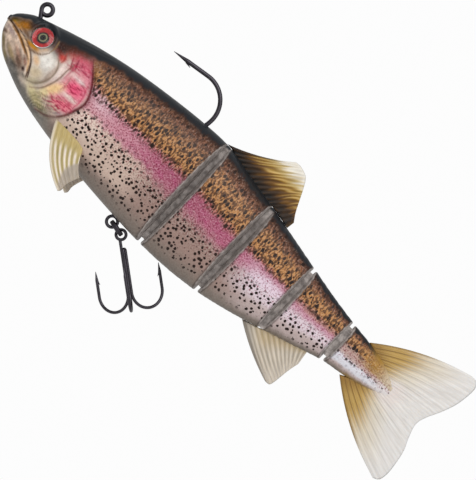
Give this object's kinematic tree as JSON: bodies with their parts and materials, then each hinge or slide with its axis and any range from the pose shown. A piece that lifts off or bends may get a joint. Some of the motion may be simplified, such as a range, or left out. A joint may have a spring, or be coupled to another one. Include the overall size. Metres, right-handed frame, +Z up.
{
  "type": "jointed soft swimbait",
  "caption": "Jointed soft-plastic fish lure that swims from side to side on a line, with a buried jig hook and a treble hook under the belly.",
  "frame": {"origin": "centre of the line-tie eye's hole", "axes": "+X along the body to the tail, +Y across the body to the fish's right side, +Z up to the back"},
  "size_m": [0.18, 0.0248, 0.0742],
  "materials": {
    "painted_soft_plastic": "airbrushed soft plastic with a clear gloss coat",
    "grey_soft_plastic": "translucent grey soft plastic",
    "woven_mesh": "woven nylon mesh strip",
    "golden_fin_plastic": "golden brown soft plastic",
    "cream_fin_plastic": "cream translucent soft plastic",
    "olive_fin_plastic": "yellow-olive soft plastic",
    "eye_foil": "printed metallic film",
    "eye_resin": "clear domed resin",
    "black_nickel": "black nickel plating",
    "cast_lead": "dull cast lead"
  },
  "bodies": {
    "head": {"head_section": "painted_soft_plastic", "joint_web_1": "grey_soft_plastic", "mesh_tendon_1": "woven_mesh", "pectoral_fin_left": "olive_fin_plastic", "pectoral_fin_right": "olive_fin_plastic", "eye_foil_left": "eye_foil", "eye_foil_right": "eye_foil", "eye_lens_left": "eye_resin", "eye_lens_right": "eye_resin", "jig_hook": "black_nickel", "head_weight": "cast_lead", "belly_wire": "black_nickel"},
    "second_section": {"body_section_2": "painted_soft_plastic", "dorsal_fin": "golden_fin_plastic", "joint_web_2": "grey_soft_plastic", "mesh_tendon_2": "woven_mesh"},
    "third_section": {"body_section_3": "painted_soft_plastic", "joint_web_3": "grey_soft_plastic", "mesh_tendon_3": "woven_mesh"},
    "fourth_section": {"body_section_4": "painted_soft_plastic", "anal_fin": "cream_fin_plastic", "joint_web_4": "grey_soft_plastic", "mesh_tendon_4": "woven_mesh"},
    "tail": {"tail_section": "painted_soft_plastic", "caudal_fin": "cream_fin_plastic"},
    "ring": {"split_ring": "black_nickel"},
    "treble": {"treble_eyed_hook": "black_nickel", "treble_double_hook": "black_nickel"}
  },
  "joints": [
    {"name": "bend_1", "type": "hinge", "parent": "head", "child": "second_section", "pos_m": [0.06858, 0, 0], "axis": [0, 0, 1], "range_deg": [-16, 16], "stiffness_Nm_per_rad": 0.004, "deforming": ["joint_web_1", "mesh_tendon_1"]},
    {"name": "bend_2", "type": "hinge", "parent": "second_section", "child": "third_section", "pos_m": [0.09108, 0, 0], "axis": [0, 0, 1], "range_deg": [-16, 16], "stiffness_Nm_per_rad": 0.004, "deforming": ["joint_web_2", "mesh_tendon_2"]},
    {"name": "bend_3", "type": "hinge", "parent": "third_section", "child": "fourth_section", "pos_m": [0.11304, 0, 0], "axis": [0, 0, 1], "range_deg": [-18, 18], "stiffness_Nm_per_rad": 0.002, "deforming": ["joint_web_3", "mesh_tendon_3"]},
    {"name": "bend_4", "type": "hinge", "parent": "fourth_section", "child": "tail", "pos_m": [0.13302, 0, 0], "axis": [0, 0, 1], "range_deg": [-25, 25], "stiffness_Nm_per_rad": 0.001, "deforming": ["joint_web_4", "mesh_tendon_4"]},
    {"name": "ring_swing", "type": "hinge", "parent": "head", "child": "ring", "pos_m": [0.05838, 0, -0.03303], "axis": [0, 1, 0], "range_deg": [0, 60]},
    {"name": "treble_swing", "type": "hinge", "parent": "ring", "child": "treble", "pos_m": [0.06308, 0, -0.03403], "axis": [0, 1, 0], "range_deg": [0, 50]}
  ]
}
